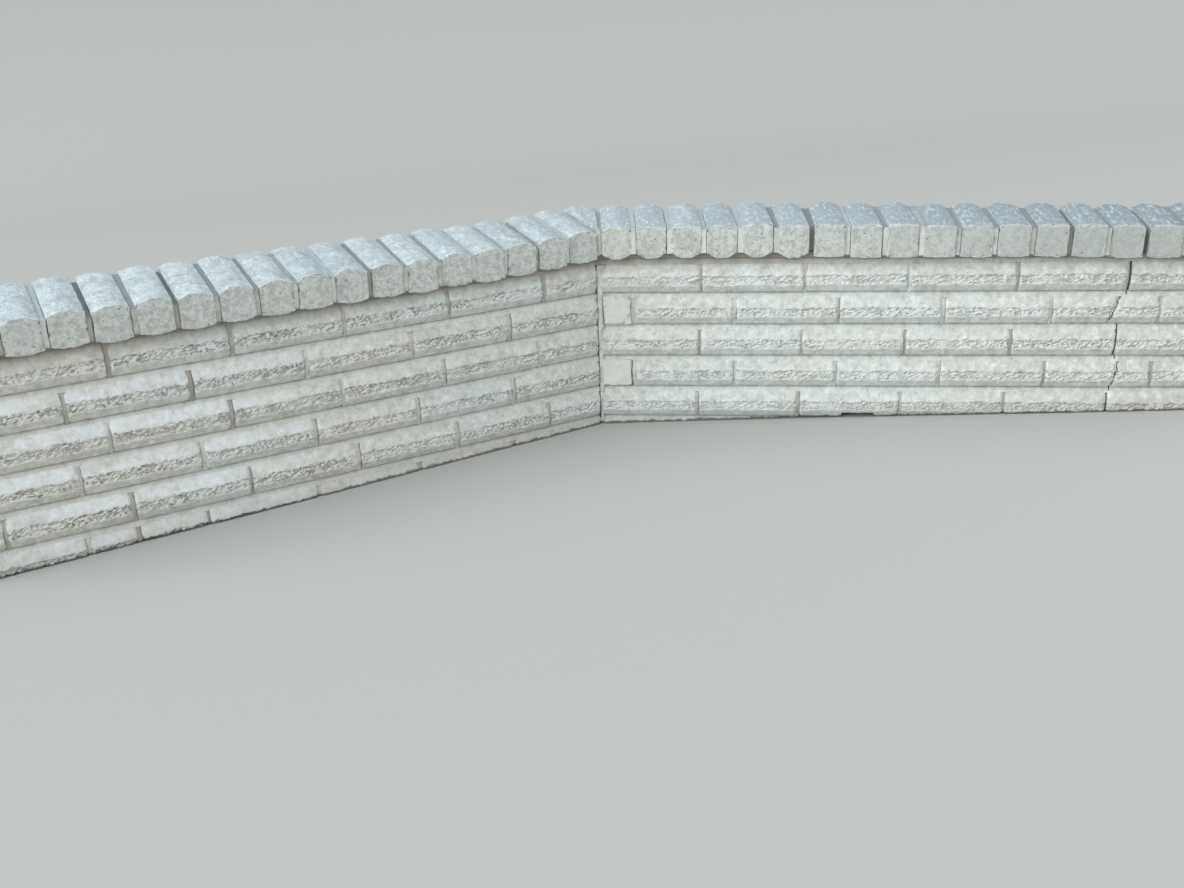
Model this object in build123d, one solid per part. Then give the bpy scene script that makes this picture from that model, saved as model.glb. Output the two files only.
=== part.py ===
"""Low painted brick garden wall: two straight legs that meet at a blunt inside corner.

Millimetres, +Z up. The origin is at the foot of the corner, half way through the wall.
+X runs to the right and +Y to the back, along the line that halves the corner.
Along a leg, a distance is counted from the corner of the front face. Depth is counted
backwards from the front edges of the bricks, so what stands forward has a negative depth.
"""
import os
from math import cos, radians, tan

from build123d import *

# Corner and length of the wall
CORNER_TURN = 36.0  # degrees by which one leg turns away from the line of the other
BAYS = 6  # whole brick lengths in each leg
COURSES = 6

# Facing brick, with a pitched face: a bevel, a rough band and a bevel
BRICK_LENGTH = 193.7
BRICK_HEIGHT = 57.0
BRICK_DEPTH = 60.0
FACE_BEVEL = 18.5  # height of each bevel
FACE_NOSE = 9.0  # how far the rough band stands in front of the edges

# Mortar
HEAD_JOINT = 9.5
BED_JOINT = 8.3
CORNER_JOINT = 7.0
COLLAR_JOINT = 10.0  # between the facing bricks and the back of the wall
JOINT_RECESS = 3.0  # how far the mortar stands back from the front edges

# Back of the wall, plain brickwork behind the facing
BACK_DEPTH = 92.0

# Centre of the first upright joint of each course, lowest course first
RIGHT_FIRST_JOINTS = (71.0, 201.0, 71.0, 204.0, 71.0, 206.0)
LEFT_FIRST_JOINTS = (207.0, 124.0, 200.0, 141.5, 202.0, 125.0)
LEFT_FOOT_CUT = 935.0  # one brick of the lowest left course was laid in two pieces
SHORTEST_PIECE = 40.0

# Small smooth bricks that close two right courses at the corner
CLOSER_COURSES = (3, 5)
CLOSER_NOSE = 5.0
CLOSER_EDGE = 4.0

# Coping of bricks laid across the wall, crowned above and below
COPING_LENGTH = 194.0
COPING_WIDTH = 60.0
COPING_HEIGHT = 65.0
COPING_CROWN = 9.0  # rise from the side edge to the flat middle
COPING_BEVEL = 20.0  # width of each sloping side
COPING_OVERHANG = 20.0
COPING_TILT = 3.8  # degrees at the corner, back edge higher
RIGHT_FAR_TILT = 2.0
LEFT_FAR_TILT = 5.6
COPING_FAN = 7.0  # degrees by which the bricks at the corner lean towards it
RIGHT_FAR_LEAN = -6.0
LEFT_FAR_LEAN = 1.5
COPING_EASE = 13  # bricks over which the tilt and the lean change
COPING_BRICKS_PER_BAY = 3
RIGHT_COPING_PITCH = 68.9
LEFT_COPING_PITCH = 67.7
COPING_JOINT_RECESS = 6.0
WEDGE_JOINT = 6.0

# Mortar under the front of the coping, at the corner and at the end of each bay
RIGHT_COPING_BEDS = (13.0, 18.2, 17.0, 14.5, 12.0, 10.5, 9.5)
LEFT_COPING_BEDS = (13.0, 5.6, 5.6, 5.6, 5.6, 5.6, 5.6)

# Sizes that follow from those above
HALF_TURN = CORNER_TURN / 2
BRICK_PITCH = BRICK_LENGTH + HEAD_JOINT
COURSE_PITCH = BRICK_HEIGHT + BED_JOINT
BACK_FRONT = BRICK_DEPTH + COLLAR_JOINT
WALL_DEPTH = BACK_FRONT + BACK_DEPTH
WALL_TOP = COURSES * COURSE_PITCH
LEG_LENGTH = BAYS * BRICK_PITCH - HEAD_JOINT / 2
COPING_BED = RIGHT_COPING_BEDS[0]
PAST_CORNER = -(WALL_DEPTH + COPING_LENGTH) * tan(radians(CORNER_TURN))

RIGHT = {
    "name": "right",
    "side": 1,
    "joints": RIGHT_FIRST_JOINTS,
    "coping": RIGHT_COPING_PITCH,
    "beds": RIGHT_COPING_BEDS,
    "tilt": RIGHT_FAR_TILT,
    "lean": RIGHT_FAR_LEAN,
}
LEFT = {
    "name": "left",
    "side": -1,
    "joints": LEFT_FIRST_JOINTS,
    "coping": LEFT_COPING_PITCH,
    "beds": LEFT_COPING_BEDS,
    "tilt": LEFT_FAR_TILT,
    "lean": LEFT_FAR_LEAN,
}


def across(leg, distance):
    """Place along a leg as an x value, before the leg is turned about the origin."""
    return leg["side"] * (distance + WALL_DEPTH / 2 * tan(radians(HALF_TURN)))


def inwards(depth):
    """Depth as a y value, before the leg is turned about the origin."""
    return depth - WALL_DEPTH / 2


def turned(leg, shape):
    """Turn a leg's shape about the origin to its line in the finished wall."""
    return Rot(Z=-leg["side"] * HALF_TURN) * shape


def mitred(leg, shape, gap=0.0):
    """Turn a shape to its line and keep what lies on its own side of the corner."""
    reach = 4 * LEG_LENGTH
    keep = Pos(leg["side"] * (reach / 2 + gap / 2), 0, WALL_TOP) * Box(reach, reach, reach)
    return turned(leg, shape) & keep


def run(leg, outline, start, end):
    """Draw a depth and height outline out along a leg, from start to end."""
    points = [(inwards(depth), height) for depth, height in outline]
    face = make_face(Polyline(points, close=True))
    low, high = sorted((across(leg, start), across(leg, end)))
    return extrude(Plane.YZ.offset(low) * face, amount=high - low)


def brick_outline(floor):
    """Section of a facing brick that is bedded at the height floor."""
    top = floor + BRICK_HEIGHT
    return [
        (BRICK_DEPTH, floor),
        (0, floor),
        (-FACE_NOSE, floor + FACE_BEVEL),
        (-FACE_NOSE, top - FACE_BEVEL),
        (0, top),
        (BRICK_DEPTH, top),
    ]


def course_floor(course):
    """Height at which the bricks of a course are bedded, the lowest course being 1."""
    return (course - 1) * COURSE_PITCH + BED_JOINT


def course_joints(leg, course):
    """Centres of the upright joints in one course of a leg."""
    joints = []
    place = leg["joints"][course - 1]
    while place < LEG_LENGTH - SHORTEST_PIECE:
        joints.append(place)
        place += BRICK_PITCH
    if leg is LEFT and course == 1:
        joints.append(LEFT_FOOT_CUT)
    return sorted(joints)


def course_spans(leg, course):
    """Start and end of each brick in one course, the first one running past the corner."""
    joints = course_joints(leg, course)
    starts = [PAST_CORNER] + [joint + HEAD_JOINT / 2 for joint in joints]
    ends = [joint - HEAD_JOINT / 2 for joint in joints] + [LEG_LENGTH]
    return list(zip(starts, ends))


def has_closer(leg, course):
    return leg is RIGHT and course in CLOSER_COURSES


def facing_course(leg, course):
    """The facing bricks of one course, each a solid of its own, mitred at the corner."""
    outline = brick_outline(course_floor(course))
    spans = course_spans(leg, course)
    if has_closer(leg, course):
        spans = spans[1:]
    bricks = [mitred(leg, run(leg, outline, start, end), CORNER_JOINT) for start, end in spans]
    return Compound(bricks)


def closer(leg, course):
    """The small smooth brick that closes a course at the corner, its front edges rounded."""
    floor = course_floor(course)
    top = floor + BRICK_HEIGHT
    outline = [(BRICK_DEPTH, floor), (-CLOSER_NOSE, floor), (-CLOSER_NOSE, top), (BRICK_DEPTH, top)]
    end = course_spans(leg, course)[0][1]
    block = run(leg, outline, PAST_CORNER, end)
    front = block.faces().sort_by(Axis.Y)[0]
    inner_edge = front.edges().sort_by(Axis.X)[0]
    block = fillet([edge for edge in front.edges() if edge != inner_edge], CLOSER_EDGE)
    return mitred(leg, block, CORNER_JOINT)


def bedding(leg, bricks):
    """Bed, head and collar joints of a leg: one mass of mortar, cut to fit the bricks."""
    outline = [
        (JOINT_RECESS, 0),
        (JOINT_RECESS, WALL_TOP),
        (BACK_FRONT, WALL_TOP),
        (BACK_FRONT, 0),
    ]
    return mitred(leg, run(leg, outline, PAST_CORNER, LEG_LENGTH)) - bricks


def back_wall(leg):
    """Plain brickwork behind the facing, one mass of masonry."""
    outline = [(BACK_FRONT, 0), (BACK_FRONT, WALL_TOP), (WALL_DEPTH, WALL_TOP), (WALL_DEPTH, 0)]
    return mitred(leg, run(leg, outline, PAST_CORNER, LEG_LENGTH))


def coping_blank(width, tilt):
    """A crowned brick on its back-to-front axis, its front end on the XZ plane."""
    side = width / 2
    flat = side - COPING_BEVEL
    points = [
        (-side, COPING_CROWN),
        (-flat, 0),
        (flat, 0),
        (side, COPING_CROWN),
        (side, COPING_HEIGHT - COPING_CROWN),
        (flat, COPING_HEIGHT),
        (-flat, COPING_HEIGHT),
        (-side, COPING_HEIGHT - COPING_CROWN),
    ]
    face = make_face(Polyline(points, close=True))
    return Rot(X=tilt) * extrude(Plane.XZ * face, amount=-COPING_LENGTH)


def coping_start():
    """Place along a leg where the front line of the coping meets that of the other leg."""
    return COPING_OVERHANG * tan(radians(HALF_TURN))


def eased(number, at_corner, far):
    """A value that changes evenly along the leg, from the corner to the brick COPING_EASE."""
    return at_corner + (far - at_corner) * min(number / COPING_EASE, 1)


def coping_brick(leg, number):
    """One coping brick, counted from the corner."""
    bay, step = divmod(number, COPING_BRICKS_PER_BAY)
    start, end = leg["beds"][bay : bay + 2]
    bed = start + (end - start) * step / COPING_BRICKS_PER_BAY
    tilt = eased(number, COPING_TILT, leg["tilt"])
    lean = leg["side"] * eased(number, COPING_FAN, leg["lean"])
    centre = coping_start() + (number + 0.5) * leg["coping"]
    place = Pos(across(leg, centre), inwards(-COPING_OVERHANG), WALL_TOP + bed)
    return turned(leg, place * Rot(Z=lean) * coping_blank(COPING_WIDTH, tilt))


def coping_bay(leg, bay):
    """The coping bricks over one bay, each a solid of its own."""
    first = bay * COPING_BRICKS_PER_BAY
    return Compound([coping_brick(leg, first + step) for step in range(COPING_BRICKS_PER_BAY)])


def corner_front():
    """Y of the point where the front lines of the two copings meet."""
    return -(COPING_OVERHANG + WALL_DEPTH / 2) / cos(radians(HALF_TURN))


def corner_wedge():
    """The brick cut to a wedge that fills the fan of the coping at the corner."""
    half_angle = radians(HALF_TURN - COPING_FAN)
    tight_pitch = min(RIGHT_COPING_PITCH, LEFT_COPING_PITCH)
    start_half = (tight_pitch - COPING_WIDTH) / 2 - WEDGE_JOINT
    end_half = start_half + COPING_LENGTH * tan(half_angle)
    point = -start_half / tan(half_angle)
    triangle = [(0, point), (end_half, COPING_LENGTH), (-end_half, COPING_LENGTH)]
    prism = extrude(make_face(Polyline(triangle, close=True)), amount=2 * WALL_TOP)
    blank = Pos(0, 0, WALL_TOP + COPING_BED) * coping_blank(2 * end_half, COPING_TILT)
    return Pos(0, corner_front(), 0) * (blank & prism)


def coping_bedding(leg, bricks):
    """Mortar under the coping and between its bricks, cut to fit them."""
    low_tilt, high_tilt = sorted((COPING_TILT, leg["tilt"]))
    inset = COPING_JOINT_RECESS

    def under(depth):
        above = max(leg["beds"]) + COPING_CROWN
        return WALL_TOP + above + (depth + COPING_OVERHANG) * tan(radians(high_tilt))

    def over(depth):
        above = min(leg["beds"]) + COPING_HEIGHT - COPING_CROWN - JOINT_RECESS
        return WALL_TOP + above + (depth + COPING_OVERHANG) * tan(radians(low_tilt))

    front = -COPING_OVERHANG + inset
    back = COPING_LENGTH - COPING_OVERHANG - inset
    bed_front = JOINT_RECESS
    bed_back = WALL_DEPTH - JOINT_RECESS
    outline = [
        (bed_front, WALL_TOP),
        (bed_front, under(bed_front)),
        (front, under(front)),
        (front, over(front)),
        (back, over(back)),
        (back, under(back)),
        (bed_back, under(bed_back)),
        (bed_back, WALL_TOP),
    ]
    filling = mitred(leg, run(leg, outline, PAST_CORNER, LEG_LENGTH))
    reach = 4 * LEG_LENGTH
    corner_back = corner_front() + COPING_LENGTH - inset
    up_to_wedge = Pos(0, corner_back - reach / 2, WALL_TOP) * Box(reach, reach, reach)
    return (filling & up_to_wedge) - bricks


def save(shape, node):
    export_step(shape, os.path.join("parts", node + ".step"))


os.makedirs("parts", exist_ok=True)

wedge = corner_wedge()
save(wedge, "corner_coping_wedge")

for leg in (LEFT, RIGHT):
    laid = []
    for course in range(1, COURSES + 1):
        bricks = facing_course(leg, course)
        save(bricks, f"{leg['name']}_course_{course}")
        laid += bricks.solids()
        if has_closer(leg, course):
            small = closer(leg, course)
            save(small, f"{leg['name']}_corner_closer_{course}")
            laid += small.solids()
    save(bedding(leg, laid), f"{leg['name']}_mortar")
    save(back_wall(leg), f"{leg['name']}_back_wall")

    capping = wedge.solids()
    for bay in range(BAYS):
        bricks = coping_bay(leg, bay)
        save(bricks, f"{leg['name']}_coping_{bay + 1}")
        capping += bricks.solids()
    save(coping_bedding(leg, capping), f"{leg['name']}_coping_mortar")
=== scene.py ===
"""Looks of a low painted brick garden wall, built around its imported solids.

Metres, +Z up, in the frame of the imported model: the origin is at the foot of the corner,
half way through the wall, +X runs to the right and +Y to the back.
"""
from functools import partial
from math import asin, atan2, cos, pi, radians, sin, tan
from random import Random

import bmesh
import bpy
from mathutils import Matrix, Vector


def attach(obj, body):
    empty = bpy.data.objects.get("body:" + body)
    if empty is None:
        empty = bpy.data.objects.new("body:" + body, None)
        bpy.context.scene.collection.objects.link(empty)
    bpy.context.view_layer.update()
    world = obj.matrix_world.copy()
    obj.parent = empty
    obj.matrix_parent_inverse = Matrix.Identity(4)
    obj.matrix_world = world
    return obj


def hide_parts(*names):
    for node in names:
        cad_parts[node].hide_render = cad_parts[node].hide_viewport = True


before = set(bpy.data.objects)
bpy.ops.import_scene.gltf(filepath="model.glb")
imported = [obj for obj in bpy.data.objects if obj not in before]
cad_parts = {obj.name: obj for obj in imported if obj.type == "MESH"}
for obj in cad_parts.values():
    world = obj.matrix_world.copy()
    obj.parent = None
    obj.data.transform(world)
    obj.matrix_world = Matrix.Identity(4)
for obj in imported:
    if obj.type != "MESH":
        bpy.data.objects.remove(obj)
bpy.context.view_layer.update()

MM = 0.001

# The camera
# It stands in front, a little to the left of the corner, at about waist height, and looks down
# on the wall through a slightly wide lens.


def linked(name, data):
    """A new object in the scene with that data."""
    made = bpy.data.objects.new(name, data)
    bpy.context.scene.collection.objects.link(made)
    return made


camera_data = bpy.data.cameras.new("camera")
camera = linked("camera", camera_data)
bpy.context.scene.camera = camera
camera.location = (-0.4927, -2.3938, 0.9279)
camera.rotation_euler = (radians(68.708), radians(1.728), radians(-12.184))
camera_data.sensor_width = 36.0
camera_data.lens = 36.486
camera_data.clip_start = 0.05
camera_data.clip_end = 100.0
bpy.context.scene.view_settings.view_transform = "Standard"

# The floor and the light
# A plain pale sheet lies where the ground meets the wall, slightly out of level as there, and
# curves up far behind. The foot of the wall runs on below it. The light is soft, as under a
# bright overcast sky, and stronger from the left.
GROUND_AT_ORIGIN = 0.0535
GROUND_RISE_X = 0.0296
GROUND_RISE_Y = -0.0171
FLOOR_REACH = 9.0
COVE_START = 3.5
COVE_RADIUS = 2.0
COVE_STEPS = 16
SKY_STRENGTH = 0.95


def linear(colour):
    """A colour written as an sRGB hex string, as linear red, green, blue and alpha."""
    channels = [int(colour[i:i + 2], 16) / 255 for i in (1, 3, 5)]
    return [c / 12.92 if c <= 0.04045 else ((c + 0.055) / 1.055) ** 2.4 for c in channels] + [1.0]


def add_node(tree, kind, *feeds, **named):
    """Add a node of a kind, which may name a property and its setting too. Values, colours and
    nodes feed its open inputs in order, or the ones named with a capital letter."""
    name, *choice = kind.split()
    node = tree.nodes.new(name)
    if choice:
        setattr(node, *choice)
    for key in [key for key in named if key.islower()]:
        setattr(node, key, named.pop(key))
    fed = list(zip([socket for socket in node.inputs if socket.enabled], feeds))
    for socket, value in fed + [(node.inputs[key.replace("_", " ")], named[key]) for key in named]:
        if isinstance(value, bpy.types.Node):
            value = next(output for output in value.outputs if output.enabled)
        if isinstance(value, bpy.types.NodeSocket):
            tree.links.new(value, socket)
        else:
            socket.default_value = linear(value) if str(value).startswith("#") else value
    return node


def new_material(name):
    """An empty material, and the call that adds a node to it."""
    material = bpy.data.materials.new(name)
    material.use_nodes = True
    material.node_tree.nodes.clear()
    return material, partial(add_node, material.node_tree)


sheet_material, put = new_material("matt_studio_sheet")
put("ShaderNodeOutputMaterial", put("ShaderNodeBsdfPrincipled", "#B2B4B1", Roughness=0.9))

sheet_line = [(-FLOOR_REACH, 0.0)]
for step in range(COVE_STEPS + 1):
    turn = pi / 2 * step / COVE_STEPS
    sheet_line.append((COVE_START + COVE_RADIUS * sin(turn), COVE_RADIUS * (1 - cos(turn))))
sheet_line.append((COVE_START + COVE_RADIUS, FLOOR_REACH))
corners = [
    (x, y, GROUND_AT_ORIGIN + GROUND_RISE_X * x + GROUND_RISE_Y * y + rise)
    for y, rise in sheet_line for x in (-FLOOR_REACH, FLOOR_REACH)]
strips = [(i, i + 1, i + 3, i + 2) for i in range(0, len(corners) - 2, 2)]
sheet = bpy.data.meshes.new("studio_sheet")
sheet.from_pydata(corners, [], strips)
sheet.shade_smooth()
sheet.materials.append(sheet_material)
linked("studio_sheet", sheet)

world = bpy.data.worlds.new("soft_sky")
bpy.context.scene.world = world
world.use_nodes = True
world.node_tree.nodes.clear()
put = partial(add_node, world.node_tree)
put("ShaderNodeOutputWorld", put("ShaderNodeBackground", "#F4F8FC", SKY_STRENGTH))

for name, strength, aim, softness in (
    ("key", 2.1, (0.84, 0.24, -0.48), 60),
    ("fill", 0.45, (-0.50, -0.60, -0.62), 110),
):
    lamp = bpy.data.lights.new(name, "SUN")
    lamp.energy = strength
    lamp.angle = radians(softness)
    hung = linked(name, lamp)
    hung.rotation_euler = Vector(aim).to_track_quat("-Z", "Y").to_euler()

# The lay of the two legs
# Each leg is worked on in a frame of its own: x along the leg, y into the wall from the front
# edges of the bricks, z up. The corner is at x = 0, and the left leg runs towards -x.
HALF_TURN = radians(18)
WALL_DEPTH = 0.162
LEGS = {"left": -1, "right": 1}


def leg_frame(side):
    """The turn and shift that carry a leg's own frame to the wall's."""
    shift = Vector((side * WALL_DEPTH / 2 * tan(HALF_TURN), -WALL_DEPTH / 2, 0))
    return Matrix.Rotation(-side * HALF_TURN, 4, "Z") @ Matrix.Translation(shift)


LEG_END = max((leg_frame(1).inverted() @ v.co).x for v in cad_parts["right_back_wall"].data.vertices)


def solids_of(node, side):
    """The corner points of each separate solid of a CAD node, in its leg's frame."""
    mesh = bmesh.new()
    mesh.from_mesh(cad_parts[node].data)
    bmesh.ops.remove_doubles(mesh, verts=mesh.verts, dist=0.01 * MM)
    to_leg = leg_frame(side).inverted()
    seen, solids = set(), []
    for first in mesh.verts:
        if first in seen:
            continue
        seen.add(first)
        waiting, points = [first], []
        while waiting:
            vert = waiting.pop()
            points.append(to_leg @ vert.co)
            for edge in vert.link_edges:
                other = edge.other_vert(vert)
                if other not in seen:
                    seen.add(other)
                    waiting.append(other)
        solids.append(points)
    mesh.free()
    return sorted(solids, key=lambda points: abs(sum(p.x for p in points)) / len(points))


def seed_mesh(points, edges=(), **marks):
    """Points and lines for a growth tree to work on, with their marks, point by point."""
    mesh = bpy.data.meshes.new("seeds")
    mesh.from_pydata(points, edges, [])
    for key, values in marks.items():
        mesh.attributes.new(key, "FLOAT", "POINT").data.foreach_set("value", values)
    return mesh


def new_growth(name, **inputs):
    """A geometry tree with inputs of those kinds, the call that adds a node, and their sockets."""
    tree = bpy.data.node_groups.new(name, "GeometryNodeTree")
    tree.interface.new_socket("Geometry", in_out="INPUT", socket_type="NodeSocketGeometry")
    for kind, labels in inputs.items():
        for label in labels:
            tree.interface.new_socket(label, in_out="INPUT", socket_type="NodeSocket" + kind)
    tree.interface.new_socket("Geometry", in_out="OUTPUT", socket_type="NodeSocketGeometry")
    return tree, partial(add_node, tree), tree.nodes.new("NodeGroupInput").outputs


def grown(name, seeds, tree, sizes, placing, node=None, keep=()):
    """Grow a tree on its seeds, keep it as a plain mesh, put it in place, hang it under the root
    body and hide the CAD node that it replaces."""
    piece = linked(name, seeds)
    growth = piece.modifiers.new("growth", "NODES")
    growth.node_group = tree
    for item in tree.interface.items_tree:
        if item.in_out == "INPUT" and item.name in sizes:
            growth[item.identifier] = sizes[item.name]
    evaluated = piece.evaluated_get(bpy.context.evaluated_depsgraph_get())
    mesh = bpy.data.meshes.new_from_object(evaluated)
    piece.modifiers.remove(growth)
    piece.data = mesh
    mesh.name = name
    mesh.transform(placing)
    for spare in [a.name for a in mesh.attributes if not a.is_required and not a.is_internal]:
        if spare not in keep and spare not in ("material_index", "sharp_face", "sharp_edge"):
            mesh.attributes.remove(mesh.attributes[spare])
    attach(piece, "root")
    if node:
        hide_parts(node)


# The facing bricks
# Concrete facing bricks with a pitched face: a smooth bevel, a band broken off rough by the
# splitter's blade, and a smooth bevel again. They are laid in stretcher bond and painted over.

# Kinds of node, some with a setting. A range is fed a value, its two ends and what comes out at
# each. A noise is fed a place, one over its size, its detail and its roughness.
MATH = "ShaderNodeMath operation "
ADD = MATH + "ADD"
SUBTRACT = MATH + "SUBTRACT"
MULTIPLY = MATH + "MULTIPLY"
MULTIPLY_ADD = MATH + "MULTIPLY_ADD"
ABSOLUTE = MATH + "ABSOLUTE"
VECTOR = "ShaderNodeVectorMath operation "
NOISE = "ShaderNodeTexNoise"
RANGE = "ShaderNodeMapRange"
MIX = "ShaderNodeMix"
BLEND = MIX + " data_type RGBA"
JOIN = "ShaderNodeCombineXYZ"
SPLIT = "ShaderNodeSeparateXYZ"
MARK = "GeometryNodeInputNamedAttribute"
VECTOR_MARK = MARK + " data_type FLOAT_VECTOR"
POINT = "GeometryNodeInputPosition"
STORE = "GeometryNodeStoreNamedAttribute"
STORE_VECTOR = STORE + " data_type FLOAT_VECTOR"
MOVE = "GeometryNodeSetPosition"
SHADE = "GeometryNodeSetShadeSmooth"
ATTRIBUTE = "ShaderNodeAttribute attribute_name "

BRICK_DEPTH = 60 * MM
FACE_BEVEL = 18.5 * MM
UPPER_SHARE = 1.26
LOWER_SHARE = 0.88
FACE_NOSE = 9 * MM
CHIP_DEPTH = {"left": 4.8 * MM, "right": 3.4 * MM}
CHIP_SIZE = 6.5 * MM
GRID = 1.9 * MM
ARRIS_WEAR = 1.6 * MM
BRICK_ROWS = 31
ROW_EASE = 0.05
END_PLAY = {"left": (0.2 * MM, 2.2 * MM), "right": (1 * MM, 3 * MM)}
END_RAGGED = 3 * MM
FURROW_DEPTH = 1.9 * MM
MITRE_REACH = 60 * MM
SLANT_REACH = 30 * MM
JUT = 0.9 * MM
AT_CORNER = 5 * MM
BROKEN_BEND = radians(28)
COURSES = 6
BOND_SEED = 4

# The lower edge that has fallen off two bricks by the ground, by course
LOST_EDGE = {2: dict(LostFrom=494 * MM, LostTo=557 * MM, LostHeight=8 * MM)}
LOST_DEPTH = 24 * MM

# The crack that runs up the right leg: its place, width and slant in each course, in millimetres
CRACK = {2: (1009, 3.4, 0), 3: (1019, 2.6, 9), 4: (1012, 3.6, 0), 5: (1001.5, 2.6, 17), 6: (1023.5, 4.2, -3)}
CRACK_JUMP = 12 * MM


def swept_section(put, size):
    """Sweep a section along the seed lines: rows of points up the front, two corners at the back.
    Marks: base, the point of the line; up, 0 to 1 from foot to head; back, 1 at the back."""
    rows = size["Rows"]
    lines = put("GeometryNodeMeshToCurve", size["Geometry"])
    lines = put("GeometryNodeResampleCurve", Curve=lines, Length=size["Grid"], mode="LENGTH")
    lines = put(STORE_VECTOR, lines, True, "base", put(POINT))
    line = put("GeometryNodeMeshLine", Count=put(ADD, rows, 2))
    index = put("GeometryNodeInputIndex")
    last = put(SUBTRACT, rows, 1)
    share = put(MATH + "DIVIDE", index, last, use_clamp=True)
    at_back = put(MATH + "GREATER_THAN", index, last)
    at_foot = put(MATH + "GREATER_THAN", index, rows)
    up = put(SUBTRACT, share, at_foot)
    for name, value in (("up", up), ("back", at_back)):
        line = put(STORE, line, True, name, value)
    line = put(MOVE, line, True, put(JOIN, up, at_back))
    section = put("GeometryNodeSetSplineCyclic", put("GeometryNodeMeshToCurve", line), Cyclic=True)
    return put("GeometryNodeCurveToMesh", Curve=lines, Profile_Curve=section, Fill_Caps=True)


def closed_off(put, mesh, bend, material):
    """Shade the mesh smooth but for the edges that bend more than that, and end the tree."""
    angle = put("GeometryNodeInputMeshEdgeAngle")
    crisp = put("FunctionNodeCompare", angle, bend, operation="GREATER_THAN")
    mesh = put(SHADE, put(SHADE, mesh, True, True), crisp, False, domain="EDGE")
    put("NodeGroupOutput", put("GeometryNodeSetMaterial", mesh, True, material))


brick_tree, put, size = new_growth(
    "brick_course", Int=("Rows",), Material=("Material",),
    Float=("Side", "Grid", "Height", "Depth", "Bevel", "Nose", "ChipDepth", "ChipSize", "Wear", "Seed",
           "LostFrom", "LostTo", "LostHeight"))
mesh = swept_section(put, size)

base = put(SPLIT, put(VECTOR_MARK, "base"))
along = base.outputs["X"]
up = put(MARK, "up")
back = put(MARK, "back")
swing = put(MATH + "SINE", put(MULTIPLY, up, 2 * pi))
eased = put(MULTIPLY_ADD, swing, ROW_EASE, up)
height = put(MULTIPLY, eased, size["Height"])
level = put(ADD, height, base.outputs["Z"])
spot = put(JOIN, along, size["Seed"], level)
below_head = put(SUBTRACT, size["Height"], height)

# Where the rough band starts and ends on the face, both lines ragged
edges = []
for reach, shift, share in ((height, 0.0, LOWER_SHARE), (below_head, 7.0, UPPER_SHARE)):
    shifted = put(VECTOR + "ADD", spot, (shift, shift, 0))
    ragged = put(NOISE, shifted, 1 / (22 * MM), 5, 0.8)
    bevel = put(MULTIPLY, put(RANGE, ragged, 0.25, 0.75, 0.76, 1.22), share)
    edges.append(put(MATH + "DIVIDE", reach, put(MULTIPLY, bevel, size["Bevel"])))
ridge = put(MATH + "MINIMUM", edges[0], edges[1])
pitch = put("ShaderNodeClamp", ridge)
rough = put(RANGE, ridge, 0.95, 1.04)

# Broken facets, each cell of the pattern a small plane with a tilt of its own
slanted = put("ShaderNodeVectorRotate", Vector=spot, Angle=radians(24), rotation_type="Y_AXIS")
facets = None
for share, stretch in ((0.7, (0.75, 1.2, 1.7)), (0.3, (1.7, 2.4, 3.0))):
    cells = put(VECTOR + "MULTIPLY", put(VECTOR + "DIVIDE", slanted, size["ChipSize"]), stretch)
    broken = put("ShaderNodeTexVoronoi", Vector=cells, Scale=1)
    offset = put(VECTOR + "SUBTRACT", cells, broken.outputs["Position"])
    lean = put(VECTOR + "SUBTRACT", broken.outputs["Color"], (0.5, 0.5, 0.5))
    slope = put(VECTOR + "DOT_PRODUCT", offset, lean)
    step = put(SPLIT, broken.outputs["Color"])
    facet = put(MULTIPLY, put(MULTIPLY_ADD, slope, 3.2, step), share)
    facets = facet if facets is None else put(ADD, facets, facet)
calm = put(RANGE, put(NOISE, spot, 1 / (38 * MM), 2), 0.35, 0.6, 0.5, 1)
pit = put(MULTIPLY, put(MULTIPLY, put("ShaderNodeClamp", facets), calm), rough)
chips = put(MULTIPLY, pit, size["ChipDepth"])

# The furrow the blade left under the upper bevel, broken off here and there
furrow = put(ABSOLUTE, put(SUBTRACT, edges[1], 1.12))
furrow = put(RANGE, furrow, 0, 0.12, 0.9, 0)
broken = put(RANGE, put(NOISE, spot, 1 / (13 * MM), 2), 0.42, 0.58)
furrow = put(MULTIPLY, furrow, broken)
chips = put(MULTIPLY_ADD, furrow, FURROW_DEPTH, chips)
# The furrow joins the pit mark, so the paint is darkened along it as painted shade of the ledge above
pit = put(MATH + "MAXIMUM", pit, furrow)

# Wear at the edges, and the slow waves of the smooth faces
to_near, to_far = [
    put(ABSOLUTE, put(SUBTRACT, along, put(MARK, end))) for end in ("near", "far")]
from_end = put(MATH + "MINIMUM", to_near, to_far)
worn = put(NOISE, spot, 1 / (14 * MM), 2)
waves = put(MULTIPLY_ADD, put(NOISE, spot, 1 / (30 * MM), 3), 1.8 * MM, -0.9 * MM)
front = put(ADD, put(SUBTRACT, chips, put(MULTIPLY, pitch, size["Nose"])), waves)
for distance, reach, depth in ((height, 2.5, 1.0), (below_head, 2.0, 0.4), (from_end, 5.0, 1.6)):
    nearness = put(RANGE, distance, 0, reach * MM, 1, 0, interpolation_type="SMOOTHSTEP")
    loss = put(MULTIPLY, put(MULTIPLY, nearness, worn), size["Wear"])
    front = put(MULTIPLY_ADD, loss, 2 * depth, front)
front = put(ADD, front, put(MARK, "jut"))
past = put(MATH + "GREATER_THAN", along, size["LostFrom"])
short = put(MATH + "LESS_THAN", along, size["LostTo"])
low_down = put(MATH + "LESS_THAN", height, size["LostHeight"])
lost = put(MULTIPLY, put(MULTIPLY, past, short), low_down)
front = put(MULTIPLY_ADD, lost, LOST_DEPTH, front)
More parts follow.
